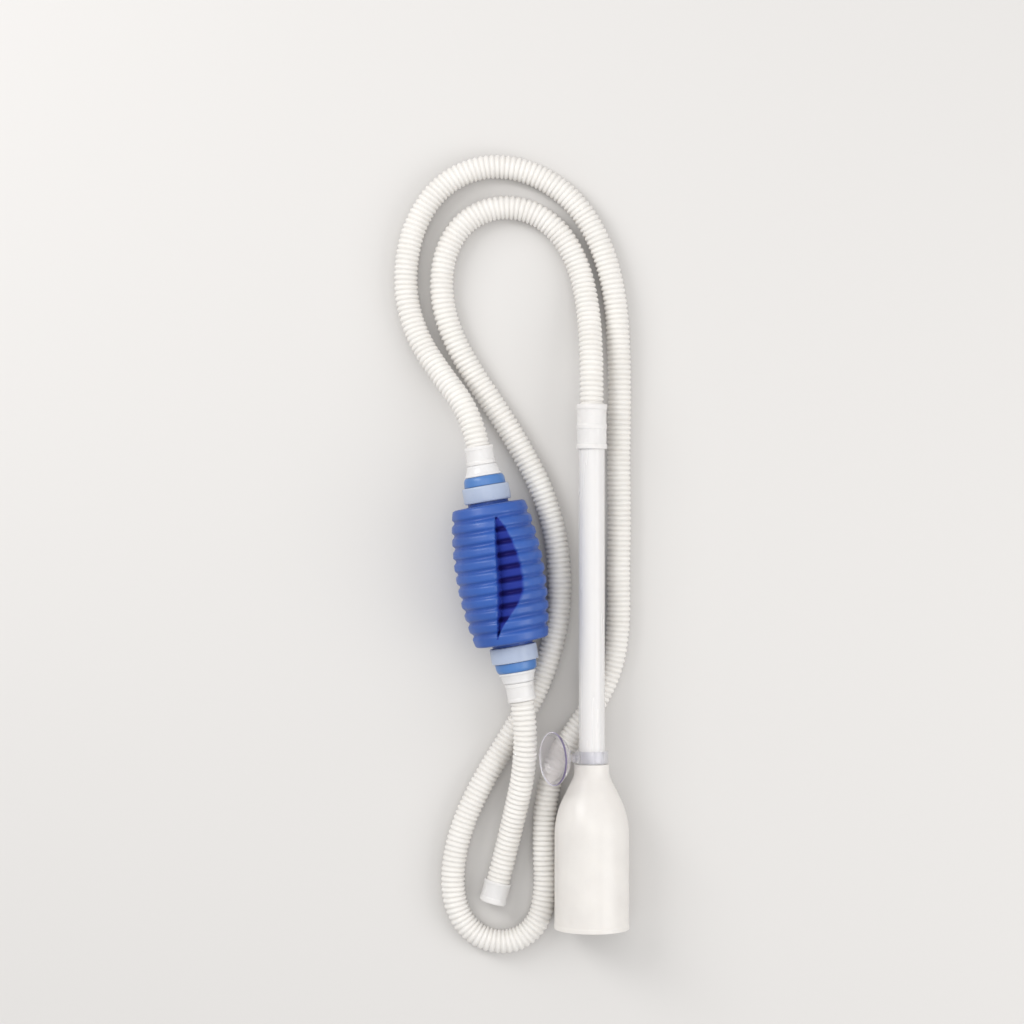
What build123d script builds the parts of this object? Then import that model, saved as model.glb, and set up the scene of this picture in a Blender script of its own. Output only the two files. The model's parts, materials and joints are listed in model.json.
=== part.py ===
from build123d import *
import math
import os

# Gravel vacuum siphon, lying on a flat surface, in millimetres. +Z is up and +Y runs from the
# mouth of the gravel tube to the hose coupling. The origin is at the bottom centre of the rigid
# pieces' box. Water goes gravel tube, rigid tube, main hose, bulb, tail hose.

# ---- driving dimensions -------------------------------------------------------------------
# intake: gravel tube, rigid tube and hose coupling share one axis along +Y
HEAD_X = 30.2
MOUTH_Y = -154.8
GRAVEL_R = 22.3          # outer radius; the tube lies on the ground
GRAVEL_WALL = 1.5
GRAVEL_CYLINDER = 66.9   # mouth to the start of the shoulder
SHOULDER_END = 90.4
NECK_END = 97.4
NECK_R = 10.4
NECK_BORE_R = 7.8
RIGID_R = 7.7
RIGID_WALL = 1.3
RIGID_START = 84.4       # along the intake, from the mouth
RIGID_END = 296.0
COUPLING_START = 283.2
COUPLING_END = 309.6
COUPLING_R = 8.75
STOP = 1.5               # thickness of the rib between rigid tube and hose

# hose
HOSE_R = 7.2
HOSE_BORE_R = 5.5
HOSE_MIN_ARC = 3 * 2 * HOSE_R

# bulb and its two ends; every end dimension runs outward from the bulb's middle
BULB_X = -23.8
BULB_Y = 54.9
BULB_Z = 26.5
BULB_LEAN = 9.76         # degrees, anticlockwise from +Y
BULB_HALF = 41.0
BULB_R_MID = 26.5
BULB_R_END = 21.75
BULB_WALL = 2.4
RIBS = 11
RIB_DEPTH = 1.1
BOSS_R = 12.0            # raised disc on the end wall
BOSS_TOP = 43.0
NECK_TOP = 49.8
NECK_OUT_R = 11.0
NECK_IN_R = 9.6
LIP_R = 8.6
COLLAR_R = 14.0
COLLAR_TOP = 52.6
RING_R = 12.3
RING_TOP = 58.4
TAPER_TOP = 65.0
TAPER_R = (10.9, 8.6)
NIPPLE_TOP = 76.0
NIPPLE_R = 5.4
CUFF_R = 8.6
STEM_R = 9.4
STEM_BORE_R = 7.9

# one-way flap valves
SEAT_BOTTOM = 41.0
SEAT_TOP = 43.4
SEAT_HOLE_R = 4.4
FLAP_R = 5.4
FLAP_THICK = 0.8
FLAP_GAP = 0.1
PIN_R = 0.45
PIN_HALF = 3.6
PIN_HEIGHT = 6.0         # above the bulb's axis
BARREL_R = 0.7

# suction cup and its clip, radial distances from the intake axis
CLIP_AT = 101.4          # along the intake, from the mouth
CLIP_WIDTH = 7.0
CLIP_R = 9.75
CLIP_BORE_R = 7.85
CLIP_GAP = (-137, -13)   # open side of the C, degrees from +X towards +Z
CUP_LEAN = 151           # direction of the cup, degrees from +X towards +Z
BOSS_END = 12.0
CUP_STEM_R = 2.0
CUP_BACK = 18.0
CUP_RIM = 27.0
CUP_R = 16.0

# strainer in the lower end of the rigid tube
STRAINER_FLANGE = 1.6
STRAINER_STEM = 6.0

HEAD_Z = GRAVEL_R        # the gravel tube touches the ground

# Free hose routes: the tube runs straight between these points, with an arc at each one.
MAIN_ROUTE = [
    (30.2, 142.7, 22.3), (30.2, 166, 22.3), (30, 190, 18), (28.5, 212, 12),
    (24, 236, 7.2), (13, 257.5, 7.2), (-5, 271.5, 7.2), (-27, 274, 7.2),
    (-47, 264, 7.2), (-58, 244, 7.2), (-59.5, 219, 7.2), (-52.5, 195, 7.2),
    (-40, 173, 7.2), (-25, 151, 7.2), (-11, 128, 7.2), (1, 105, 7.2),
    (9, 79, 7.2), (12, 51, 7.2), (10.5, 25, 7.2), (4, 0, 7.2),
    (-7, -25, 7.2), (-22, -49, 7.2), (-37, -74, 7.2), (-48, -99, 7.2),
    (-53, -124, 7.2), (-50.5, -147, 7.2), (-37.5, -163, 7.2), (-17, -166.5, 7.2),
    (-1, -155, 7.2), (3.5, -134, 7.2), (2.2, -110, 7.2), (2.5, -85, 7.2),
    (7.5, -62, 7.2), (19.5, -41, 7.2), (33.5, -22, 7.2), (43.5, 0, 7.2),
    (47, 26, 7.2), (46.5, 56, 7.2), (47.3, 88, 7.2), (46.6, 121, 7.2),
    (47.3, 154, 7.2), (47, 187, 7.2), (45, 219, 7.2), (37.5, 249, 7.2),
    (22, 276, 7.2), (-3, 294, 7.2), (-32, 299, 7.2), (-58, 288, 7.2),
    (-74, 266, 7.2), (-80.5, 241, 7.2), (-80, 216, 7.2), (-72, 192.5, 9.5),
    (-58, 171.5, 16), (-45.8, 155.5, 22.5),
]
TAIL_ROUTE = [
    (-8.8, -45.6, 25), (-10.3, -64.8, 20.5), (-14.5, -85.2, 14.5),
    (-19.3, -105.6, 10), (-24.1, -124.8, 8.2), (-28.3, -140.4, 8.2),
]
FIRST_RUN = 17.0         # straight out of each bulb connector
RISER_CORNERS = 4        # corners of the main route from the coupling to the ground
INLET_CORNERS = 5        # and from the ground up to the bulb
TAIL_CUFF_LENGTH = 12.0
TAIL_CUFF_R = 8.2
TAIL_CUFF_LIP = 1.5

os.makedirs("parts", exist_ok=True)


def save(part, name):
    part.label = name
    export_step(part, f"parts/{name}.step")


def revolve_profile(plane, points, rounds=()):
    """Solid of revolution about the plane's Y axis, from (radius, distance) points.

    rounds gives (point index, radius) pairs for the profile's rounded corners."""
    with BuildPart() as solid:
        with BuildSketch(plane) as profile:
            with BuildLine():
                Polyline(*points, close=True)
            make_face()
            for index, radius in rounds:
                corner = plane.from_local_coords(Vector(*points[index]))
                nearest = profile.vertices().sort_by_distance(plane.to_local_coords(corner))[0]
                fillet(nearest, radius)
        revolve(axis=Axis(plane.origin, plane.y_dir))
    return solid.part


# ---- intake ---------------------------------------------------------------------------------
intake = Plane(origin=(HEAD_X, MOUTH_Y, HEAD_Z), x_dir=(1, 0, 0), z_dir=(0, 0, 1))

gravel_in_r = GRAVEL_R - GRAVEL_WALL
gravel_tube = revolve_profile(
    intake,
    [
        (GRAVEL_R, 0),
        (GRAVEL_R, GRAVEL_CYLINDER),
        (NECK_R, SHOULDER_END),
        (NECK_R, NECK_END),
        (NECK_BORE_R, NECK_END),
        (NECK_BORE_R, SHOULDER_END),
        (gravel_in_r, GRAVEL_CYLINDER - GRAVEL_WALL / 2),
        (gravel_in_r, 0),
    ],
    rounds=[(1, 14), (2, 5), (3, 0.8), (6, 12.5)],
)
save(gravel_tube, "gravel_tube")

rigid_bore_r = RIGID_R - RIGID_WALL
rigid_tube = revolve_profile(
    intake,
    [
        (RIGID_R, RIGID_START),
        (RIGID_R, RIGID_END),
        (rigid_bore_r, RIGID_END),
        (rigid_bore_r, RIGID_START),
    ],
)
save(rigid_tube, "rigid_tube")

# Strainer: a pierced disc with a short sleeve that plugs into the rigid tube's lower end.
strainer_low = RIGID_START - STRAINER_FLANGE
sleeve_r = rigid_bore_r - 0.1
with BuildPart() as strainer:
    with BuildSketch(intake):
        with BuildLine():
            Polyline(
                (0, strainer_low),
                (RIGID_R - 0.1, strainer_low),
                (RIGID_R - 0.1, RIGID_START),
                (sleeve_r, RIGID_START),
                (sleeve_r, RIGID_START + STRAINER_STEM),
                (sleeve_r - 1.1, RIGID_START + STRAINER_STEM),
                (sleeve_r - 1.1, RIGID_START),
                (0, RIGID_START),
                close=True,
            )
        make_face()
    revolve(axis=Axis(intake.origin, intake.y_dir))
    strainer_face = Plane(
        origin=(HEAD_X, MOUTH_Y + strainer_low, HEAD_Z), x_dir=(1, 0, 0), z_dir=(0, 1, 0)
    )
    with BuildSketch(strainer_face):
        Circle(0.8)
        with PolarLocations(2.2, 6):
            Circle(0.75)
        with PolarLocations(4.1, 11):
            Circle(0.75)
    extrude(amount=STRAINER_FLANGE, mode=Mode.SUBTRACT)
save(strainer.part, "strainer")

# Coupling: rigid tube pushed in from below, hose from above, a stop rib between them.
BEAD = 0.45
BEAD_WIDTH = 2.2
hose_start = RIGID_END + STOP
tube_coupling = revolve_profile(
    intake,
    [
        (COUPLING_R + BEAD, COUPLING_START),
        (COUPLING_R + BEAD, COUPLING_START + BEAD_WIDTH),
        (COUPLING_R, COUPLING_START + BEAD_WIDTH + BEAD),
        (COUPLING_R, COUPLING_END - BEAD_WIDTH - BEAD),
        (COUPLING_R + BEAD, COUPLING_END - BEAD_WIDTH),
        (COUPLING_R + BEAD, COUPLING_END),
        (HOSE_R + 0.1, COUPLING_END),
        (HOSE_R + 0.1, hose_start),
        (rigid_bore_r, hose_start),
        (rigid_bore_r, RIGID_END),
        (RIGID_R + 0.05, RIGID_END),
        (RIGID_R + 0.05, COUPLING_START),
    ],
    rounds=[(0, 0.5), (5, 0.5)],
)
save(tube_coupling, "tube_coupling")

# ---- suction cup and clip -------------------------------------------------------------------
clip_plane = Plane(
    origin=(HEAD_X, MOUTH_Y + CLIP_AT, HEAD_Z), x_dir=(1, 0, 0), z_dir=(0, -1, 0)
)
lean = math.radians(CUP_LEAN)
cup_axis = Vector(math.cos(lean), 0, math.sin(lean))


def along_cup(distance):
    """Plane square to the cup's axis, at this distance from the intake axis."""
    return Plane(origin=clip_plane.origin + cup_axis * distance, x_dir=(0, 1, 0), z_dir=cup_axis)


with BuildPart() as suction_clip:
    with BuildSketch(clip_plane):
        Circle(CLIP_R)
        Circle(CLIP_BORE_R, mode=Mode.SUBTRACT)
        with BuildLine():
            reach = 2 * CLIP_R
            corners = [(0, 0)]
            for step in range(5):
                angle = math.radians(CLIP_GAP[0] + (CLIP_GAP[1] - CLIP_GAP[0]) * step / 4)
                corners.append((reach * math.cos(angle), reach * math.sin(angle)))
            Polyline(*corners, close=True)
        make_face(mode=Mode.SUBTRACT)
    extrude(amount=CLIP_WIDTH / 2, both=True)
    with BuildSketch(along_cup((CLIP_R + CLIP_BORE_R) / 2)):
        Circle(3.2)
    extrude(amount=BOSS_END - (CLIP_R + CLIP_BORE_R) / 2)
    with BuildSketch(along_cup(BOSS_END)):
        Circle(1.3)
    extrude(amount=-2.2, mode=Mode.SUBTRACT)
save(suction_clip.part, "suction_clip")

# The cup turns on a pin in the clip's boss.
cup_profile_plane = Plane(
    origin=clip_plane.origin, x_dir=(0, 1, 0), z_dir=Vector(0, 1, 0).cross(cup_axis)
)
with BuildPart() as suction_cup:
    with BuildSketch(cup_profile_plane):
        with BuildLine():
            Polyline(
                (0, BOSS_END - 1.9),
                (1.25, BOSS_END - 1.9),
                (1.25, BOSS_END + 0.3),
                (CUP_STEM_R, BOSS_END + 0.3),
                (CUP_STEM_R, CUP_BACK - 1.2),
                (5.5, CUP_BACK + 0.4),
            )
            Bezier((5.5, CUP_BACK + 0.4), (13, CUP_BACK + 2.6), (CUP_R, CUP_RIM - 0.6))
            Line((CUP_R, CUP_RIM - 0.6), (CUP_R - 0.4, CUP_RIM))
            Bezier((CUP_R - 0.4, CUP_RIM), (12.4, CUP_BACK + 3.6), (5, CUP_BACK + 2.4))
            Line((5, CUP_BACK + 2.4), (0, CUP_BACK + 2.4))
            Line((0, CUP_BACK + 2.4), (0, BOSS_END - 1.9))
        make_face()
    revolve(axis=Axis(clip_plane.origin, cup_axis))
save(suction_cup.part, "suction_cup")

# ---- bulb -----------------------------------------------------------------------------------
bulb_axis = Vector(0, 1, 0).rotate(Axis.Z, BULB_LEAN)
bulb_centre = Vector(BULB_X, BULB_Y, BULB_Z)
bulb_across = bulb_axis.cross(Vector(0, 0, 1))
barrel = Plane(origin=bulb_centre, x_dir=bulb_across, z_dir=(0, 0, 1))


def barrel_r(distance):
    return BULB_R_END + (BULB_R_MID - BULB_R_END) * (1 - (distance / BULB_HALF) ** 2)


rib_pitch = 2 * BULB_HALF / RIBS
with BuildPart() as bulb:
    with BuildSketch(barrel):
        with BuildLine():
            for rib in range(RIBS):
                low = -BULB_HALF + rib * rib_pitch
                high = low + rib_pitch
                ThreePointArc(
                    (barrel_r(low) - RIB_DEPTH, low),
                    (barrel_r((low + high) / 2), (low + high) / 2),
                    (barrel_r(high) - RIB_DEPTH, high),
                )
            Polyline(
                (BULB_R_END - RIB_DEPTH, BULB_HALF),
                (BOSS_R, BULB_HALF),
                (BOSS_R, BOSS_TOP),
                (NECK_OUT_R, BOSS_TOP),
                (NECK_OUT_R, NECK_TOP),
                (NECK_IN_R, NECK_TOP),
                (NECK_IN_R, SEAT_BOTTOM),
                (LIP_R, SEAT_BOTTOM),
                (LIP_R, BULB_HALF - BULB_WALL),
                (BULB_R_END - RIB_DEPTH - BULB_WALL, BULB_HALF - BULB_WALL),
            )
            ThreePointArc(
                (BULB_R_END - RIB_DEPTH - BULB_WALL, BULB_HALF - BULB_WALL),
                (BULB_R_MID - RIB_DEPTH - BULB_WALL, 0),
                (BULB_R_END - RIB_DEPTH - BULB_WALL, BULB_WALL - BULB_HALF),
            )
            Polyline(
                (BULB_R_END - RIB_DEPTH - BULB_WALL, BULB_WALL - BULB_HALF),
                (LIP_R, BULB_WALL - BULB_HALF),
                (LIP_R, -SEAT_BOTTOM),
                (NECK_IN_R, -SEAT_BOTTOM),
                (NECK_IN_R, -NECK_TOP),
                (NECK_OUT_R, -NECK_TOP),
                (NECK_OUT_R, -BOSS_TOP),
                (BOSS_R, -BOSS_TOP),
                (BOSS_R, -BULB_HALF),
                (BULB_R_END - RIB_DEPTH, -BULB_HALF),
            )
        make_face()
    revolve(axis=Axis(bulb_centre, bulb_axis))
save(bulb.part, "bulb")


# ---- the bulb's two ends --------------------------------------------------------------------
def make_end(end, outward, flap_side):
    """One end of the bulb. flap_side is +1 if the flap is on the seat's outer face."""
    side = outward.cross(Vector(0, 0, 1))
    plane = Plane(origin=bulb_centre, x_dir=side, z_dir=(0, 0, 1))

    collar = revolve_profile(
        plane,
        [
            (NECK_OUT_R + 0.05, BOSS_TOP),
            (COLLAR_R, BOSS_TOP),
            (COLLAR_R, COLLAR_TOP),
            (NECK_OUT_R + 0.05, COLLAR_TOP),
        ],
        rounds=[(1, 0.8), (2, 0.8)],
    )
    save(collar, f"{end}_collar")

    seal = revolve_profile(
        plane,
        [
            (STEM_R + 0.05, NECK_TOP),
            (NECK_OUT_R, NECK_TOP),
            (NECK_OUT_R, COLLAR_TOP),
            (STEM_R + 0.05, COLLAR_TOP),
        ],
    )
    save(seal, f"{end}_seal")

    ring = revolve_profile(
        plane,
        [
            (STEM_R + 0.1, COLLAR_TOP),
            (RING_R, COLLAR_TOP),
            (RING_R, RING_TOP),
            (STEM_R + 0.1, RING_TOP),
        ],
        rounds=[(2, 0.9)],
    )
    save(ring, f"{end}_ring")

    connector = revolve_profile(
        plane,
        [
            (STEM_BORE_R, SEAT_TOP),
            (STEM_R, SEAT_TOP),
            (STEM_R, RING_TOP),
            (TAPER_R[0], RING_TOP),
            (TAPER_R[0], RING_TOP + 1.5),
            (TAPER_R[1], TAPER_TOP),
            (NIPPLE_R, TAPER_TOP),
            (NIPPLE_R, NIPPLE_TOP),
            (NIPPLE_R - 1.2, NIPPLE_TOP),
            (NIPPLE_R - 1.2, TAPER_TOP - 3),
            (STEM_BORE_R, RING_TOP - 3),
        ],
    )
    save(connector, f"{end}_connector")

    cuff = revolve_profile(
        plane,
        [
            (HOSE_R + 0.3, TAPER_TOP),
            (CUFF_R, TAPER_TOP),
            (CUFF_R, NIPPLE_TOP),
            (HOSE_R + 0.3, NIPPLE_TOP),
        ],
        rounds=[(2, 0.6)],
    )
    save(cuff, f"{end}_cuff")

    # valve: seat plate with two lugs, a flap that hangs on a pin between them
    face = SEAT_TOP if flap_side > 0 else SEAT_BOTTOM
    flap_near = face + flap_side * FLAP_GAP
    pin_at = flap_near + flap_side * BARREL_R
    lug_end = pin_at + flap_side * 0.9

    def square_to_axis(distance):
        """Plane across the bulb's axis, with its Y axis pointing up."""
        return Plane(
            origin=bulb_centre + outward * distance, x_dir=outward.cross(Vector(0, 0, 1)) * -1,
            z_dir=outward,
        )

    pin_plane = Plane(
        origin=bulb_centre + outward * pin_at + Vector(0, 0, PIN_HEIGHT),
        x_dir=(0, 0, 1),
        z_dir=side,
    )

    with BuildPart() as seat:
        with BuildSketch(square_to_axis(SEAT_BOTTOM)):
            Circle(STEM_R)
            Circle(SEAT_HOLE_R, mode=Mode.SUBTRACT)
        extrude(amount=SEAT_TOP - SEAT_BOTTOM)
        with BuildSketch(square_to_axis(face)):
            with Locations((PIN_HALF - 0.3, PIN_HEIGHT - 0.1), (0.3 - PIN_HALF, PIN_HEIGHT - 0.1)):
                Rectangle(0.6, 1.4)
        extrude(amount=lug_end - face)
        with BuildSketch(pin_plane):
            Circle(PIN_R + 0.02)
        extrude(amount=2 * PIN_HALF, both=True, mode=Mode.SUBTRACT)
    save(seat.part, f"{end}_valve_seat")

    with BuildPart() as pin:
        with BuildSketch(pin_plane):
            Circle(PIN_R)
        extrude(amount=PIN_HALF, both=True)
    save(pin.part, f"{end}_flap_pin")

    with BuildPart() as flap:
        with BuildSketch(square_to_axis(flap_near)):
            with Locations((0, 0.2)):
                Circle(FLAP_R)
            with Locations((0, PIN_HEIGHT - 1)):
                Rectangle(4.8, 2)
        extrude(amount=flap_side * FLAP_THICK)
        with BuildSketch(pin_plane):
            Circle(BARREL_R)
        extrude(amount=PIN_HALF - 0.8, both=True)
        with BuildSketch(pin_plane):
            Circle(PIN_R + 0.03)
        extrude(amount=PIN_HALF, both=True, mode=Mode.SUBTRACT)
    save(flap.part, f"{end}_flap")

    hinge = pin_plane.origin
    print(f"{end} flap hinge at ({hinge.X:.3f}, {hinge.Y:.3f}, {hinge.Z:.3f})")


make_end("inlet", bulb_axis, flap_side=-1)
make_end("outlet", bulb_axis * -1, flap_side=1)


# ---- hoses ----------------------------------------------------------------------------------
def route_radii(route):
    """For each corner of the route, an arc as large as its two runs allow."""
    radii = []
    for before, here, after in zip(route, route[1:], route[2:]):
        arriving = here - before
        leaving = after - here
        half_turn = math.radians(arriving.get_angle(leaving)) / 2
        shorter = min(arriving.length, leaving.length)
        radii.append(0.45 * shorter / math.tan(half_turn))
    return radii


def save_hose(name, path):
    """Hollow hose along a smooth wire."""
    with BuildPart() as tube:
        with BuildSketch(Plane(origin=path @ 0, z_dir=path % 0)):
            Circle(HOSE_R)
            Circle(HOSE_BORE_R, mode=Mode.SUBTRACT)
        sweep(path=path)
    section = math.pi * (HOSE_R**2 - HOSE_BORE_R**2)
    ratio = tube.part.volume / (section * path.length)
    print(f"{name}: length {path.length:.1f}, volume ratio {ratio:.4f}, solids {len(tube.solids())}")
    save(tube.part, name)


def hose(names, points, corners=()):
    """Hose in as many stretches as it has names. Each but the last ends after one of corners."""
    route = [Vector(*point) for point in points]
    radii = route_radii(route)
    tight = [f"{radius:.0f}" for radius in radii if radius < HOSE_MIN_ARC]
    print(f"{names[0]}: radii {[round(radius) for radius in radii]}")
    print(f"  under {HOSE_MIN_ARC:.0f}: {tight}")
    with BuildLine() as line:
        FilletPolyline(*route, radius=radii)
    edges = line.wire().order_edges()
    cuts = [0] + [2 * corner for corner in corners] + [len(edges)]
    for name, first, last in zip(names, cuts, cuts[1:]):
        save_hose(name, Wire(edges[first:last]))


# The two stretches that leave the ground, at the coupling and at the bulb, are nodes of their own.
inlet_end = bulb_centre + bulb_axis * TAPER_TOP
inlet_out = bulb_centre + bulb_axis * (TAPER_TOP + FIRST_RUN)
main_points = MAIN_ROUTE + [tuple(inlet_out), tuple(inlet_end)]
hose(
    ("main_hose_riser", "main_hose", "main_hose_inlet_end"),
    main_points,
    corners=(RISER_CORNERS, len(main_points) - 2 - INLET_CORNERS),
)

outlet_end = bulb_centre - bulb_axis * TAPER_TOP
outlet_out = bulb_centre - bulb_axis * (TAPER_TOP + FIRST_RUN)
hose(("tail_hose",), [tuple(outlet_end), tuple(outlet_out)] + TAIL_ROUTE)

# Cuff on the tail's free end, with a lip over the hose's cut face.
tail_end = Vector(*TAIL_ROUTE[-1])
tail_out = (tail_end - Vector(*TAIL_ROUTE[-2])).normalized()
tail_plane = Plane(origin=tail_end, x_dir=tail_out.cross(Vector(0, 0, 1)), z_dir=(0, 0, 1))
tail_end_cuff = revolve_profile(
    tail_plane,
    [
        (HOSE_R + 0.15, -TAIL_CUFF_LENGTH),
        (TAIL_CUFF_R, -TAIL_CUFF_LENGTH),
        (TAIL_CUFF_R, TAIL_CUFF_LIP),
        (HOSE_BORE_R, TAIL_CUFF_LIP),
        (HOSE_BORE_R, 0),
        (HOSE_R + 0.15, 0),
    ],
    rounds=[(2, 1.0)],
)
save(tail_end_cuff, "tail_end_cuff")

rigid_box = Compound(
    children=[gravel_tube, rigid_tube, tube_coupling, suction_cup.part, bulb.part]
).bounding_box()
print("rigid box", rigid_box.min, rigid_box.max)
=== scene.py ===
"""Gravel vacuum siphon: the looks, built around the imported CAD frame. Metres, in the row frame."""

import json
import math

import bmesh
import bpy
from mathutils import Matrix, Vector, noise


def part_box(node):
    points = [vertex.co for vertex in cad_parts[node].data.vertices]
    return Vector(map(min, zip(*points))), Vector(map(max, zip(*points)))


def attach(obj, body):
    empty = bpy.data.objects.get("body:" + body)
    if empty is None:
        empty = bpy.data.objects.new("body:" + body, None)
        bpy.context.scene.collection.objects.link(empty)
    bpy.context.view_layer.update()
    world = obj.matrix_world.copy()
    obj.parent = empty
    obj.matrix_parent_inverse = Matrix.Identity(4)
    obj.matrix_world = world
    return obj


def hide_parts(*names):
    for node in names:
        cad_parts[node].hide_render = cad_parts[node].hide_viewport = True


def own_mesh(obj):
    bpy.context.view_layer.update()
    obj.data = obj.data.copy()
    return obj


MM = 0.001
UP = Vector((0, 0, 1))

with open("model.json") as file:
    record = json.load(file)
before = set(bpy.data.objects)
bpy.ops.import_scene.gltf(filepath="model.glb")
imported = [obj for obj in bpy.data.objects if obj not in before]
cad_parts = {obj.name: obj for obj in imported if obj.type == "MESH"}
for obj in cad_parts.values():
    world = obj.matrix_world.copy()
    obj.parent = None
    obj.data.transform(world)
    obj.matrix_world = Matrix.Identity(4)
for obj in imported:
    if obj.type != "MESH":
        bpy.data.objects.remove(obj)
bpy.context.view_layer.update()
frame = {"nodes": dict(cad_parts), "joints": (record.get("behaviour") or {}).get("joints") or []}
JOINTS = {joint["name"]: joint for joint in frame["joints"]}


# ---- where things are, from the frame --------------------------------------------------------
def centre(node):
    low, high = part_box(node)
    return (Vector(low) + Vector(high)) / 2


def corner(node, which):
    return Vector(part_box(node)[which])


INTAKE = centre("gravel_tube")
INTAKE.y = corner("gravel_tube", 0).y
INTAKE_AXIS = Vector((0, 1, 0))
BULB = centre("bulb")
BULB_AXIS = (centre("inlet_collar") - centre("outlet_collar")).normalized()
CUP_AXIS = Vector(JOINTS["cup_swivel"]["axis"]).normalized()
CLIP = Vector(JOINTS["cup_swivel"]["pos_m"])


# ---- camera ----------------------------------------------------------------------------------
LENS = 85
SENSOR = 36
SCENE_WIDTH = 0.6144     # what the camera's frame spans on the ground
CAMERA_X = -0.0169
CAMERA_Y = 0.0912

camera_data = bpy.data.cameras.new("camera")
camera_data.lens = LENS
camera_data.sensor_width = SENSOR
camera = bpy.data.objects.new("camera", camera_data)
camera.location = (CAMERA_X, CAMERA_Y, SCENE_WIDTH * LENS / SENSOR)
bpy.context.scene.collection.objects.link(camera)
bpy.context.scene.camera = camera


# ---- mesh helpers ----------------------------------------------------------------------------
def new_object(name, mesh_data):
    thing = bpy.data.objects.new(name, mesh_data)
    bpy.context.scene.collection.objects.link(thing)
    return thing


def from_bmesh(name, bm, crease=35):
    """Object from a bmesh: smooth, but sharp where faces meet at more than crease degrees."""
    bmesh.ops.recalc_face_normals(bm, faces=bm.faces)
    data = bpy.data.meshes.new(name)
    bm.to_mesh(data)
    bm.free()
    data.shade_smooth()
    data.set_sharp_from_angle(angle=math.radians(crease))
    return new_object(name, data)


def rounded(points, radius, steps=4, closed=True):
    """The profile with each corner replaced by an arc of about this radius."""
    out = []
    count = len(points)
    for index, here in enumerate(points):
        if not closed and index in (0, count - 1):
            out.append(here)
            continue
        before = Vector(points[index - 1])
        after = Vector(points[(index + 1) % count])
        here = Vector(here)
        to_before, to_after = before - here, after - here
        reach = min(radius, 0.45 * to_before.length, 0.45 * to_after.length)
        start = here + to_before.normalized() * reach
        end = here + to_after.normalized() * reach
        for step in range(steps + 1):
            t = step / steps
            out.append((1 - t) ** 2 * start + 2 * t * (1 - t) * here + t**2 * end)
    return [tuple(point) for point in out]


def lathe(name, origin, axis, profile, segments=96, shape=None, closed=True, crease=35):
    """Revolves (radius, distance) points, in millimetres, about an axis.

    shape(angle, radius, distance) may return a changed radius; angle 90 degrees faces up."""
    across = axis.cross(UP).normalized()
    upward = across.cross(axis)
    bm = bmesh.new()
    rings = []
    for radius, distance in profile:
        on_axis = origin + axis * distance * MM
        if radius < 1e-6:
            rings.append([bm.verts.new(on_axis)])
            continue
        ring = []
        for segment in range(segments):
            angle = 2 * math.pi * segment / segments
            r = shape(angle, radius, distance) if shape else radius
            out = across * math.cos(angle) + upward * math.sin(angle)
            ring.append(bm.verts.new(on_axis + out * r * MM))
        rings.append(ring)
    pairs = list(zip(rings, rings[1:]))
    if closed:
        pairs.append((rings[-1], rings[0]))
    for low, high in pairs:
        if len(low) == 1 and len(high) == 1:
            continue
        for segment in range(segments):
            after = (segment + 1) % segments
            if len(low) == 1:
                bm.faces.new((low[0], high[after], high[segment]))
            elif len(high) == 1:
                bm.faces.new((low[segment], low[after], high[0]))
            else:
                bm.faces.new((low[segment], low[after], high[after], high[segment]))
    return from_bmesh(name, bm, crease)


# ---- materials -------------------------------------------------------------------------------
class Look:
    """A Principled material and short ways to add nodes to it."""

    def __init__(self, name, color, rough, **sockets):
        self.material = bpy.data.materials.new(name)
        self.material.use_nodes = True
        self.nodes = self.material.node_tree.nodes
        self.links = self.material.node_tree.links
        self.shader = self.nodes["Principled BSDF"]
        self.shader.inputs["Base Color"].default_value = (*color, 1)
        self.shader.inputs["Roughness"].default_value = rough
        for socket, value in sockets.items():
            self.shader.inputs[socket.replace("_", " ")].default_value = value

    def node(self, kind, **settings):
        made = self.nodes.new(kind)
        for key, value in settings.items():
            if key in made.inputs:
                made.inputs[key].default_value = value
            else:
                setattr(made, key, value)
        return made

    def coords(self, scale=(1, 1, 1)):
        where = self.node("ShaderNodeTexCoord")
        mapping = self.node("ShaderNodeMapping")
        mapping.inputs["Scale"].default_value = scale
        self.links.new(where.outputs["Object"], mapping.inputs["Vector"])
        return mapping.outputs["Vector"]

    def noise(self, scale, detail=3, stretch=(1, 1, 1), rough=0.5):
        texture = self.node("ShaderNodeTexNoise")
        texture.inputs["Scale"].default_value = scale
        texture.inputs["Detail"].default_value = detail
        texture.inputs["Roughness"].default_value = rough
        self.links.new(self.coords(stretch), texture.inputs["Vector"])
        return texture.outputs["Fac"]

    def ramp(self, source, stops):
        made = self.node("ShaderNodeValToRGB")
        elements = made.color_ramp.elements
        while len(elements) < len(stops):
            elements.new(0.5)
        for element, (place, color) in zip(elements, stops):
            element.position = place
            element.color = (*color, 1)
        self.links.new(source, made.inputs["Fac"])
        return made.outputs["Color"]

    def spread(self, source, low, high):
        """Maps a 0.3 to 0.7 noise value to low to high."""
        made = self.node("ShaderNodeMapRange")
        made.inputs["From Min"].default_value = 0.3
        made.inputs["From Max"].default_value = 0.7
        made.inputs["To Min"].default_value = low
        made.inputs["To Max"].default_value = high
        self.links.new(source, made.inputs["Value"])
        return made.outputs["Result"]

    def color(self, source):
        self.links.new(source, self.shader.inputs["Base Color"])

    def roughness(self, source):
        self.links.new(source, self.shader.inputs["Roughness"])

    def bump(self, source, height, strength=1.0):
        made = self.node("ShaderNodeBump")
        made.inputs["Distance"].default_value = height
        made.inputs["Strength"].default_value = strength
        self.links.new(source, made.inputs["Height"])
        self.links.new(made.outputs["Normal"], self.shader.inputs["Normal"])


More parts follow.
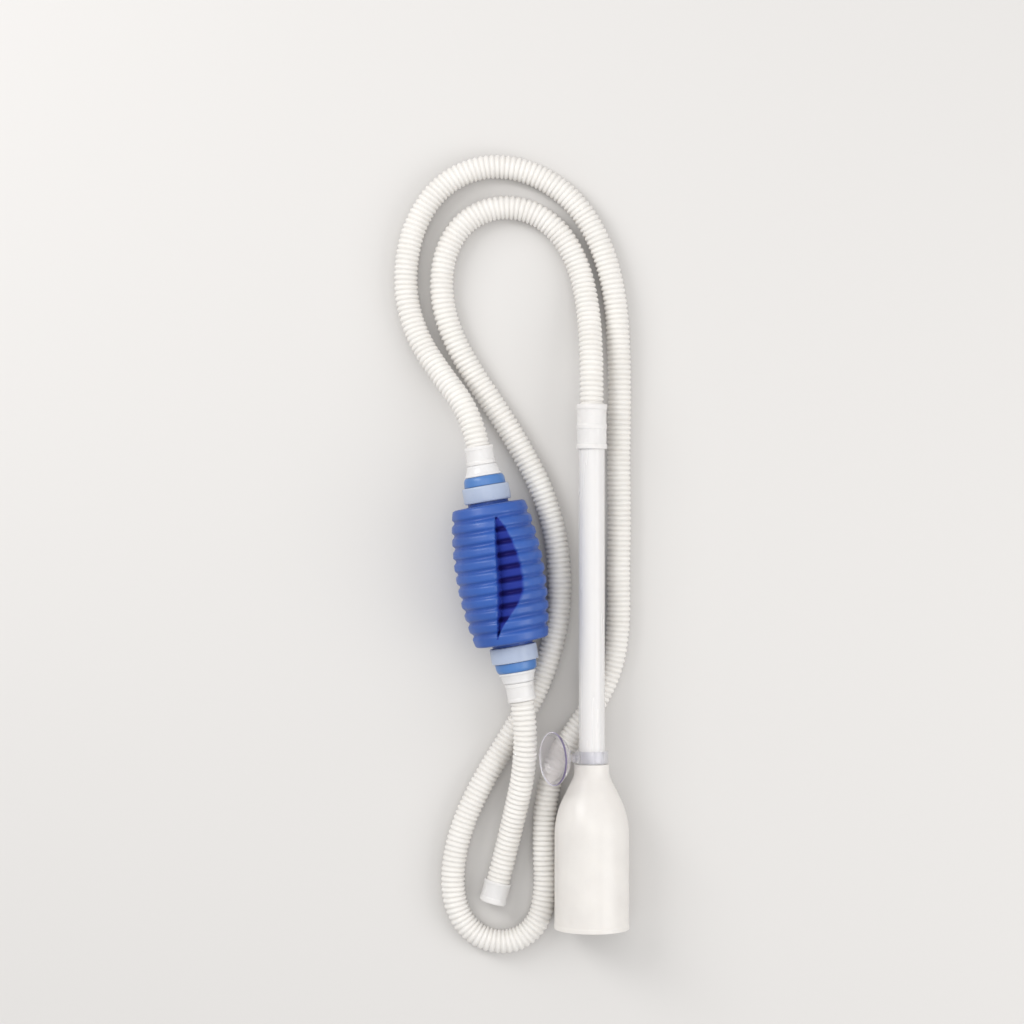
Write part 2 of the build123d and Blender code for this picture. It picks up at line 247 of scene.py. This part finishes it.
def milky(name, light, dark, rough, transmission, stretch=(1, 1, 1)):
    """Milky translucent plastic with faint clouding and a very fine grain."""
    look = Look(
        name, light, rough, Transmission_Weight=transmission, IOR=1.35,
        Subsurface_Weight=0.3, Subsurface_Scale=0.003, Coat_Weight=0.2, Coat_Roughness=0.18,
    )
    look.shader.inputs["Subsurface Radius"].default_value = (1.0, 0.95, 0.88)
    look.color(look.ramp(look.noise(60, 4, stretch), [(0.3, dark), (0.7, light)]))
    look.roughness(look.spread(look.noise(140, 3, stretch), rough - 0.08, rough + 0.1))
    look.bump(look.noise(500, 2, stretch), 0.000005, 0.3)
    return look.material


def clear(name, tint, rough, transmission, alpha=1.0, stretch=(1, 1, 1)):
    """Clear plastic with faint draw lines and haze."""
    look = Look(
        name, tint, rough, Transmission_Weight=transmission, IOR=1.2, Alpha=alpha,
        Coat_Weight=0.5, Coat_Roughness=0.06,
    )
    faint = tuple(0.94 * part for part in tint)
    look.color(look.ramp(look.noise(80, 3, stretch), [(0.3, faint), (0.7, tint)]))
    look.roughness(look.spread(look.noise(220, 3, stretch), max(0.02, rough - 0.05), rough + 0.08))
    look.bump(look.noise(400, 2, stretch), 0.00002, 0.4)
    return look.material


def blue_pvc(name, light, dark, rough, grain):
    look = Look(
        name, light, rough, Subsurface_Weight=0.05, Subsurface_Scale=0.002,
        Coat_Weight=0.3, Coat_Roughness=0.28, Specular_IOR_Level=0.5,
    )
    look.shader.inputs["Subsurface Radius"].default_value = (0.3, 0.5, 1.0)
    look.color(look.ramp(look.noise(45, 5), [(0.3, dark), (0.7, light)]))
    look.roughness(look.spread(look.noise(160, 4), rough - 0.08, rough + 0.12))
    look.bump(look.noise(grain, 3), 0.00006, 0.6)
    return look


DENT_PAINTED_SHADE = 0.72        # the stored value from which the painted shade in the dent is at full strength
MIX_SHARE, MIX_A, MIX_B = 0, 6, 7    # a colour Mix node's sockets


def bulb_blue():
    """Blue soft PVC with painted shade: dark violet painted deep in the dent and darker colour
    painted in the grooves.
    """
    look = blue_pvc("bulb blue with painted shade", (0.012, 0.082, 0.36), (0.009, 0.063, 0.30), 0.46, 700)
    surface = look.shader.inputs["Base Color"].links[0].from_socket
    hollow = look.node("ShaderNodeAttribute", attribute_name="hollow")
    depth = hollow.outputs["Fac"]
    # painted shade: the dent's crease and the rib grooves are painted dark violet
    deep = look.ramp(depth, [(DENT_PAINTED_SHADE, (0.018, 0.034, 0.24)), (1.0, (0.010, 0.009, 0.10))])
    share = look.ramp(depth, [(0.0, (0, 0, 0)), (DENT_PAINTED_SHADE, (1, 1, 1))])
    mixed = look.node("ShaderNodeMix", data_type="RGBA")
    look.links.new(share, mixed.inputs[MIX_SHARE])
    look.links.new(surface, mixed.inputs[MIX_A])
    look.links.new(deep, mixed.inputs[MIX_B])
    look.color(mixed.outputs[2])
    # coat and specular are also turned down where the painted shade is
    for socket, outside in (("Coat Weight", 0.3), ("Specular IOR Level", 0.5)):
        fade = look.node("ShaderNodeMapRange")
        fade.inputs["From Max"].default_value = DENT_PAINTED_SHADE
        fade.inputs["To Min"].default_value = outside
        fade.inputs["To Max"].default_value = 0.1 * outside
        look.links.new(depth, fade.inputs["Value"])
        look.links.new(fade.outputs["Result"], look.shader.inputs[socket])
    return look.material


def cup_rim():
    """Violet-grey rim with painted shade: dark violet painted on the side of the rim that stands
    highest, pale on the low side.
    """
    look = Look(
        "violet rim", (0.25, 0.20, 0.36), 0.15, Transmission_Weight=0.45, IOR=1.2,
        Coat_Weight=0.5, Coat_Roughness=0.08,
    )
    where = look.node("ShaderNodeSeparateXYZ")
    look.links.new(look.coords(), where.inputs["Vector"])
    rise = look.node("ShaderNodeMapRange")
    for socket, value in (("From Min", 0.024), ("From Max", 0.044)):
        rise.inputs[socket].default_value = value
    look.links.new(where.outputs["Z"], rise.inputs["Value"])
    # painted shade: the higher the rim stands, the darker its colour
    look.color(look.ramp(rise.outputs["Result"], [
        (0.0, (0.90, 0.88, 0.91)), (0.5, (0.80, 0.77, 0.85)), (0.95, (0.20, 0.16, 0.30)),
    ]))
    return look.material


def plain(name, light, dark, rough, grain, height=0.00004, **sockets):
    look = Look(name, light, rough, **sockets)
    look.color(look.ramp(look.noise(90, 4), [(0.3, dark), (0.7, light)]))
    look.roughness(look.spread(look.noise(200, 3), rough - 0.06, rough + 0.08))
    look.bump(look.noise(grain, 2), height, 0.5)
    return look.material


MILKY_TUBE = milky("milky tube", (0.74, 0.71, 0.675), (0.695, 0.665, 0.635), 0.36, 0.06)
HOSE = milky("milky hose", (0.85, 0.82, 0.78), (0.79, 0.76, 0.72), 0.38, 0.12)
SOFT = milky("soft cuff", (0.70, 0.682, 0.668), (0.645, 0.627, 0.613), 0.32, 0.0)
CLEAR_TUBE = milky(
    "clear tube", (0.82, 0.80, 0.785), (0.76, 0.74, 0.73), 0.24, 0.15, stretch=(1, 0.05, 1)
)
CLEAR_TAPER = milky("clear connector", (0.68, 0.67, 0.668), (0.625, 0.615, 0.615), 0.26, 0.0)
CLEAR_CUP = clear("clear cup", (0.95, 0.92, 0.96), 0.06, 0.9, 0.55)
CUP_VIOLET = cup_rim()
CLEAR_CLIP = clear("clear clip", (0.90, 0.90, 0.95), 0.12, 0.85, 0.7)
BULB_BLUE = bulb_blue()
RING_BLUE = blue_pvc("ring blue", (0.060, 0.18, 0.45), (0.046, 0.148, 0.39), 0.36, 900).material
COLLAR_WHITE = milky("collar white", (0.39, 0.445, 0.56), (0.35, 0.405, 0.52), 0.34, 0.0)
WHITE = plain("white plastic", (0.86, 0.86, 0.85), (0.78, 0.78, 0.77), 0.42, 800)
RUBBER = plain("seal rubber", (0.035, 0.035, 0.036), (0.020, 0.020, 0.021), 0.62, 600)
SILICONE = plain("flap silicone", (0.70, 0.68, 0.63), (0.62, 0.60, 0.55), 0.50, 700)
STEEL = plain("pin steel", (0.72, 0.73, 0.75), (0.60, 0.61, 0.63), 0.22, 900, Metallic=1.0)

NODE_LOOKS = {
    "strainer": WHITE,
    "rigid_tube": CLEAR_TUBE,
    "suction_clip": CLEAR_CLIP,
}
for end in ("inlet", "outlet"):
    NODE_LOOKS[f"{end}_seal"] = RUBBER
    NODE_LOOKS[f"{end}_valve_seat"] = WHITE
    NODE_LOOKS[f"{end}_flap_pin"] = STEEL
    NODE_LOOKS[f"{end}_flap"] = SILICONE
for node, material in NODE_LOOKS.items():
    slots = frame["nodes"][node].material_slots
    for material_slot in slots:
        material_slot.material = material


MAIN = "main"


def finish_piece(piece, material, body, nodes):
    """Gives a new piece its material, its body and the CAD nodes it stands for."""
    piece.data.materials.clear()
    piece.data.materials.append(material)
    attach(piece, body)
    if nodes:
        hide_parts(*nodes)
    return piece


# ---- hoses -----------------------------------------------------------------------------------
MAIN_HOSE_NODES = ("main_hose_riser", "main_hose", "main_hose_inlet_end")
HOSE_R = 7.2
HOSE_BORE_R = 5.5
HOSE_PITCH = 3.0         # from rib to rib
HOSE_GROOVE = 1.0        # depth between ribs
HOSE_SIDES = 24
FIRST_RUN = 17.0         # straight out of each connector
TAPER_TOP = 65.0         # from the bulb's middle to the hose's end

inlet_end = BULB / MM + BULB_AXIS * TAPER_TOP
inlet_out = BULB / MM + BULB_AXIS * (TAPER_TOP + FIRST_RUN)
outlet_end = BULB / MM - BULB_AXIS * TAPER_TOP
outlet_out = BULB / MM - BULB_AXIS * (TAPER_TOP + FIRST_RUN)

MAIN_ROUTE = [
    (30.2, 142.7, 22.3), (30.2, 166, 22.3), (30, 190, 18), (28.5, 212, 12),
    (24, 236, 7.2), (13, 257.5, 7.2), (-5, 271.5, 7.2), (-27, 274, 7.2),
    (-47, 264, 7.2), (-58, 244, 7.2), (-59.5, 219, 7.2), (-52.5, 195, 7.2),
    (-40, 173, 7.2), (-25, 151, 7.2), (-11, 128, 7.2), (1, 105, 7.2),
    (9, 79, 7.2), (12, 51, 7.2), (10.5, 25, 7.2), (4, 0, 7.2),
    (-7, -25, 7.2), (-22, -49, 7.2), (-37, -74, 7.2), (-48, -99, 7.2),
    (-53, -124, 7.2), (-50.5, -147, 7.2), (-37.5, -163, 7.2), (-17, -166.5, 7.2),
    (-1, -155, 7.2), (3.5, -134, 7.2), (2.2, -110, 7.2), (2.5, -85, 7.2),
    (7.5, -62, 7.2), (19.5, -41, 7.2), (33.5, -22, 7.2), (43.5, 0, 7.2),
    (47, 26, 7.2), (46.5, 56, 7.2), (47.3, 88, 7.2), (46.6, 121, 7.2),
    (47.3, 154, 7.2), (47, 187, 7.2), (45, 219, 7.2), (37.5, 249, 7.2),
    (22, 276, 7.2), (-3, 294, 7.2), (-32, 299, 7.2), (-58, 288, 7.2),
    (-74, 266, 7.2), (-80.5, 241, 7.2), (-80, 216, 7.2), (-72, 192.5, 9.5),
    (-58, 171.5, 16), (-45.8, 155.5, 22.5), inlet_out, inlet_end,
]
TAIL_ROUTE = [
    outlet_end, outlet_out,
    (-8.8, -45.6, 25), (-10.3, -64.8, 20.5), (-14.5, -85.2, 14.5),
    (-19.3, -105.6, 10), (-24.1, -124.8, 8.2), (-28.3, -140.4, 8.2),
]


def centreline(name, route):
    """Points read from the smooth spline that has the route's points as control points."""
    curve = bpy.data.curves.new(name, "CURVE")
    curve.dimensions = "3D"
    curve.resolution_u = 24
    spline = curve.splines.new("NURBS")
    spline.points.add(len(route) - 1)
    for point, place in zip(spline.points, route):
        point.co = (*(Vector(place) * MM), 1)
    spline.order_u = 3
    spline.use_endpoint_u = True
    holder = new_object(name, curve)
    line = bpy.data.meshes.new_from_object(holder)
    points = [vertex.co.copy() for vertex in line.vertices]
    bpy.data.objects.remove(holder)
    return points


def evenly(points, step):
    """The same line with points a fixed distance apart, and its length."""
    marks = [0.0]
    for before, after in zip(points, points[1:]):
        marks.append(marks[-1] + (after - before).length)
    length = marks[-1]
    count = max(2, round(length / step))
    out = []
    index = 0
    for number in range(count + 1):
        want = length * number / count
        while index < len(marks) - 2 and marks[index + 1] < want:
            index += 1
        share = (want - marks[index]) / max(1e-9, marks[index + 1] - marks[index])
        out.append(points[index].lerp(points[index + 1], min(1, max(0, share))))
    return out, length


def carried_frames(points):
    """At each point, two directions square to the line, turning no more than the line does."""
    side = None
    frames = []
    for index, here in enumerate(points):
        ahead = points[min(index + 1, len(points) - 1)] - points[max(index - 1, 0)]
        ahead.normalize()
        if side is None:
            side = ahead.cross(UP)
        side = (side - ahead * side.dot(ahead)).normalized()
        frames.append((here, side, side.cross(ahead)))
    return frames


def ribbed_hose(name, route, *nodes):
    """Ribbed hose along the route: rounded ribs outside, a smooth bore inside, open ends."""
    samples = 6
    points, length = evenly(centreline(f"{name} line", route), HOSE_PITCH * MM / samples)
    bm = bmesh.new()
    outer, inner = [], []
    for index, (here, side, top) in enumerate(carried_frames(points)):
        phase = (index % samples) / samples
        rib = 0.5 + 0.5 * math.cos(2 * math.pi * phase)
        radius = (HOSE_R - HOSE_GROOVE * (1 - rib**0.6)) * MM
        ring = []
        for step in range(HOSE_SIDES):
            angle = 2 * math.pi * step / HOSE_SIDES
            out = side * math.cos(angle) + top * math.sin(angle)
            ring.append(bm.verts.new(here + out * radius))
        outer.append(ring)
        if index % samples == 0 or index == len(points) - 1:
            inner.append([
                bm.verts.new(here + (vertex.co - here).normalized() * HOSE_BORE_R * MM)
                for vertex in ring
            ])
    for rings in (outer, inner):
        for low, high in zip(rings, rings[1:]):
            for step in range(HOSE_SIDES):
                after = (step + 1) % HOSE_SIDES
                bm.faces.new((low[step], low[after], high[after], high[step]))
    for place in (0, -1):
        for step in range(HOSE_SIDES):
            after = (step + 1) % HOSE_SIDES
            bm.faces.new((outer[place][step], outer[place][after],
                          inner[place][after], inner[place][step]))
    piece = from_bmesh(name, bm, crease=75)
    finish_piece(piece, HOSE, MAIN, nodes)
    return piece, points


# ---- the pieces on the hoses' ends -----------------------------------------------------------
COUPLING_R = 8.75
coupling_low = corner("tube_coupling", 0).y / MM - INTAKE.y / MM
coupling_high = corner("tube_coupling", 1).y / MM - INTAKE.y / MM


def coupling():
    middle = (coupling_low + coupling_high) / 2
    profile = rounded([
        (COUPLING_R + 0.45, coupling_low), (COUPLING_R + 0.45, coupling_low + 2.4),
        (COUPLING_R - 0.05, coupling_low + 3.2), (COUPLING_R - 0.05, middle - 1.6),
        (COUPLING_R + 0.25, middle - 1.0), (COUPLING_R + 0.25, middle + 1.0),
        (COUPLING_R - 0.05, middle + 1.6), (COUPLING_R - 0.05, coupling_high - 3.2),
        (COUPLING_R + 0.45, coupling_high - 2.4), (COUPLING_R + 0.45, coupling_high),
        (7.3, coupling_high), (7.3, middle + 1.2), (6.4, middle + 1.2),
        (6.4, middle - 0.4), (7.75, middle - 0.4), (7.75, coupling_low),
    ], 0.6)
    piece = lathe("tube_coupling_sleeve", INTAKE, INTAKE_AXIS, profile)
    return finish_piece(piece, SOFT, MAIN, ("tube_coupling",))


def gravel():
    """Bottle-shaped tube: rim bead at the mouth, cylinder, shoulder and neck."""
    outer = [(22.3, 0), (22.3, 2.2), (22.1, 3.0), (22.1, 66.9), (10.4, 90.4), (10.4, 97.3),
             (7.85, 97.3), (7.85, 90.4), (20.6, 66.1), (20.6, 0)]
    profile = []
    softness = [0.5, 0.4, 0.4, 12, 4, 0.7, 0.4, 3, 10, 0.5]
    for index, radius in enumerate(softness):
        before = outer[index - 1]
        after = outer[(index + 1) % len(outer)]
        bend = rounded([before, outer[index], after], radius, steps=10, closed=False)
        profile += bend[1:-1]

    def uneven(angle, radius, distance):
        """Blow-moulded walls are never quite round."""
        wave = 0.10 * math.sin(2 * angle + 0.6) + 0.05 * math.sin(3 * angle + distance / 30)
        return radius - 0.12 + wave * min(1, radius / 22)

    piece = lathe("gravel_tube_shell", INTAKE, INTAKE_AXIS, profile, 128, uneven)
    return finish_piece(piece, MILKY_TUBE, "gravel_tube_body", ("gravel_tube",))


# ---- suction cup -----------------------------------------------------------------------------
def cup():
    profile = rounded([
        (0, 10.1), (1.25, 10.1), (1.25, 12.3), (2.0, 12.3), (2.0, 14.2), (2.5, 14.6),
        (2.5, 15.6), (2.0, 16.0), (2.2, 17.2), (5.5, 18.5), (9.0, 19.5), (12.3, 21.5),
        (14.6, 24.2), (15.7, 26.5), (15.4, 26.9), (14.0, 24.9), (11.6, 22.6), (8.4, 21.1),
        (5.0, 20.5), (0, 20.4),
    ], 0.5, closed=False)
    body = lathe("cup_body", CLIP, CUP_AXIS, profile, closed=False)
    finish_piece(body, CLEAR_CUP, "cup_body", ("suction_cup",))
    rim_profile = []
    for step in range(10):
        angle = 2 * math.pi * step / 10
        rim_profile.append((15.45 + 0.5 * math.cos(angle), 26.45 + 0.55 * math.sin(angle)))
    rim = lathe("cup_rim", CLIP, CUP_AXIS, rim_profile)
    finish_piece(rim, CUP_VIOLET, "cup_body", ())


# ---- bulb ------------------------------------------------------------------------------------
RIBS = 11
BULB_HALF = 41.0
BULB_R_MID = 26.5
BULB_R_END = 21.75
RIB_PITCH = 2 * BULB_HALF / RIBS
RIB_DEPTH = 1.5
GROOVE_FROM = 0.38       # where a rib starts to fall, from its middle to the next groove
GROOVE_SPAN = 0.58
BULB_WALL = 2.2
BOSS_R = 12.0
NECK_BORE_R = 9.7
NECK_END = 43.0
BOSS_START = 41.3
DENT_DEPTH = 6.5
DENT_FROM = -37.0        # along the bulb's axis
DENT_TO = 33.5
DENT_WIDTH = 15.5
WIDEST = 0.40            # share of the way from DENT_FROM
LOWER_CURVE = 1.7        # how its right edge swells below and above the widest place
UPPER_CURVE = 0.75
FOLD_START = -8.2        # across the bulb
FOLD_LEAN = 11.4
FOLD_SHARE = 0.14        # the steep part of the dent, as a share of its width


def barrel_r(distance):
    return BULB_R_END + (BULB_R_MID - BULB_R_END) * (1 - (distance / BULB_HALF) ** 2)


def rib_height(distance):
    """0 in the groove between two ribs and 1 on a crest; the two end faces have squarer edges."""
    ribs_in = (distance + BULB_HALF) / RIB_PITCH
    rib = min(RIBS - 1, max(0, int(ribs_in)))
    place = min(1, max(0, ribs_in - rib))
    off = abs(2 * place - 1)
    outermost = (rib == 0 and place < 0.5) or (rib == RIBS - 1 and place > 0.5)
    if outermost:
        return (1 - off**8) ** 0.6
    down = min(1, max(0, (off - GROOVE_FROM) / GROOVE_SPAN))
    return 1 - down * down * (3 - 2 * down)


def dent(across, distance):
    """Depth of the hollow pressed into the upper side, and 0 to 1 for how far inside it this is.

    A straight fold is its left edge and drops steeply; from there it rises evenly to the right."""
    if not DENT_FROM < distance < DENT_TO:
        return 0, 0
    along = (distance - DENT_FROM) / (DENT_TO - DENT_FROM)
    fold = FOLD_START + FOLD_LEAN * along + 0.5 * math.sin(5 * along)
    if along < WIDEST:
        swell = math.sin(math.pi / 2 * along / WIDEST) ** LOWER_CURVE
    else:
        swell = math.sin(math.pi / 2 * (1 - along) / (1 - WIDEST)) ** UPPER_CURVE
    width = 0.8 + DENT_WIDTH * swell
    share = (across - fold) / width
    reach = math.sin(math.pi * along) ** 0.55
    if not -0.1 < share < 1:
        return 0, 0
    if share < 0:
        lip = 1 + share / 0.1
        return 0.1 * DENT_DEPTH * reach * lip * lip, 0.35 * lip * lip
    if share < FOLD_SHARE:
        drop = math.sin(share / FOLD_SHARE * math.pi / 2)
        return DENT_DEPTH * reach * (0.1 + 0.9 * drop), 0.35 + 0.65 * drop
    rise = (share - FOLD_SHARE) / (1 - FOLD_SHARE)
    inside = min(1, 7 * (1 - rise))
    return DENT_DEPTH * reach * (1 - rise) ** 1.15, inside


def shade_bulb(piece):
    """Stores how deep in the dent or in a groove each point is, for the material to paint shade
    there.
    """
    across_axis = BULB_AXIS.cross(UP)
    depth = piece.data.attributes.new("hollow", "FLOAT", "POINT")
    for vertex, stored in zip(piece.data.vertices, depth.data):
        place = (vertex.co - BULB) / MM
        distance = place.dot(BULB_AXIS)
        inside = dent(place.dot(across_axis), distance)[1] if place.z > 0 else 0
        groove = 1 - rib_height(distance)
        # painted shade mask: strong deep in the dent, weaker in every groove
        stored.value = min(1, inside * (0.74 + 0.26 * groove) + 0.16 * groove)


def bulb():
    profile = [(NECK_BORE_R, NECK_END), (BOSS_R, NECK_END), (BOSS_R, BOSS_START)]
    samples = 12
    for step in range(RIBS * samples, -1, -1):
        distance = -BULB_HALF + step * RIB_PITCH / samples
        profile.append((barrel_r(distance) - RIB_DEPTH * (1 - rib_height(distance)), distance))
    profile += [(BOSS_R, -BOSS_START), (BOSS_R, -NECK_END), (NECK_BORE_R, -NECK_END)]
    inner_end = BULB_HALF - 2.5
    lining = BULB_R_END - RIB_DEPTH - BULB_WALL
    profile += [(NECK_BORE_R, -inner_end), (lining, -inner_end)]
    for step in range(-9, 10):
        profile.append((barrel_r(4.0 * step) - RIB_DEPTH - BULB_WALL, 4.0 * step))
    profile += [(lining, inner_end), (NECK_BORE_R, inner_end)]

    def moulded(angle, radius, distance):
        if radius < 16:
            return radius
        swirl = Vector((3 * math.cos(angle), 3 * math.sin(angle), distance / 12))
        radius += 0.2 * noise.noise(swirl) - 0.2
        if math.sin(angle) < 0:
            return radius
        depth, inside = dent(radius * math.cos(angle), distance)
        return radius - depth - 0.8 * inside * (1 - rib_height(distance))

    piece = lathe("bulb_skin", BULB, BULB_AXIS, profile, 240, moulded, crease=60)
    shade_bulb(piece)
    finish_piece(piece, BULB_BLUE, MAIN, ("bulb",))
    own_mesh(piece)


def bulb_end(end, axis):
    """White collar, blue ring, clear taper with steps, and the cuff over the hose."""
    collar = lathe(f"{end}_collar_shell", BULB, axis, rounded([
        (11.1, 43.1), (13.7, 43.1), (13.95, 44.0), (13.95, 51.7), (13.6, 52.5), (11.1, 52.5),
    ], 0.5))
    finish_piece(collar, COLLAR_WHITE, MAIN, (f"{end}_collar",))

    ring = lathe(f"{end}_ring_shell", BULB, axis, rounded([
        (9.5, 52.65), (12.2, 52.65), (12.25, 53.2), (12.0, 56.6), (11.1, 58.3), (9.5, 58.35),
    ], 0.9))
    finish_piece(ring, RING_BLUE, MAIN, (f"{end}_ring",))

    taper = lathe(f"{end}_taper", BULB, axis, rounded([
        (7.9, 43.5), (9.4, 43.5), (9.4, 58.4), (10.9, 58.4), (10.9, 59.4), (10.2, 60.2),
        (9.3, 63.2), (9.3, 64.2), (8.6, 65.0), (5.4, 65.0), (5.4, 75.9), (4.2, 75.9),
        (4.2, 62.0), (7.9, 55.4),
    ], 0.45))
    finish_piece(taper, CLEAR_TAPER, MAIN, (f"{end}_connector",))

    sleeve = lathe(f"{end}_cuff_sleeve", BULB, axis, rounded([
        (7.45, 65.05), (8.6, 65.05), (8.6, 67.0), (8.25, 67.6), (8.25, 73.6), (8.5, 74.2),
        (8.5, 75.95), (7.45, 75.95),
    ], 0.4))
    finish_piece(sleeve, SOFT, MAIN, (f"{end}_cuff",))


def tail_cuff(points):
    """Smooth cuff on the tail's free end."""
    end = points[-1]
    direction = (points[-1] - points[-8]).normalized()
    piece = lathe("tail_end_sleeve", end, direction, rounded([
        (7.3, -12), (8.15, -12), (8.15, -10.4), (7.9, -9.8), (7.9, -2.2), (8.15, -1.6),
        (8.15, 0.6), (7.6, 1.45), (5.5, 1.45), (5.5, 0.05), (7.3, 0.05),
    ], 0.4))
    return finish_piece(piece, SOFT, MAIN, ("tail_end_cuff",))


# ---- make everything -------------------------------------------------------------------------
main_hose, main_points = ribbed_hose("main_hose_ribbed", MAIN_ROUTE, *MAIN_HOSE_NODES)
tail_hose, tail_points = ribbed_hose("tail_hose_ribbed", TAIL_ROUTE, "tail_hose")
end_cuff = tail_cuff(tail_points)
coupling()
gravel()
cup()
bulb()
bulb_end("inlet", BULB_AXIS)
bulb_end("outlet", -BULB_AXIS)


# ---- floor and light -------------------------------------------------------------------------
def stage():
    bpy.ops.mesh.primitive_plane_add(size=6, location=(0, 0, 0))
    floor = bpy.context.object
    floor.name = "floor"
    look = Look("floor", (0.60, 0.585, 0.57), 0.75)
    floor.data.materials.append(look.material)


def area_light(name, place, size, power, color=(1, 1, 1)):
    data = bpy.data.lights.new(name, "AREA")
    data.shape = "RECTANGLE"
    data.size, data.size_y = size
    data.energy = power
    data.color = color
    light = new_object(name, data)
    light.location = place
    aim = Vector((0, 0.06, 0)) - Vector(place)
    light.rotation_euler = aim.to_track_quat("-Z", "Y").to_euler()


def world_light(strength, color):
    world = bpy.data.worlds.new("studio")
    bpy.context.scene.world = world
    world.use_nodes = True
    background = world.node_tree.nodes["Background"]
    background.inputs["Color"].default_value = (*color, 1)
    background.inputs["Strength"].default_value = strength


stage()
area_light("key", (-0.9, 0.7, 0.9), (0.5, 0.9), 9)
area_light("fill", (1.1, -0.2, 0.9), (0.9, 0.9), 7)
area_light("top", (0.1, 0.3, 1.6), (1.2, 1.2), 6)
world_light(0.75, (1, 1, 1))
bpy.context.scene.view_settings.view_transform = "Standard"
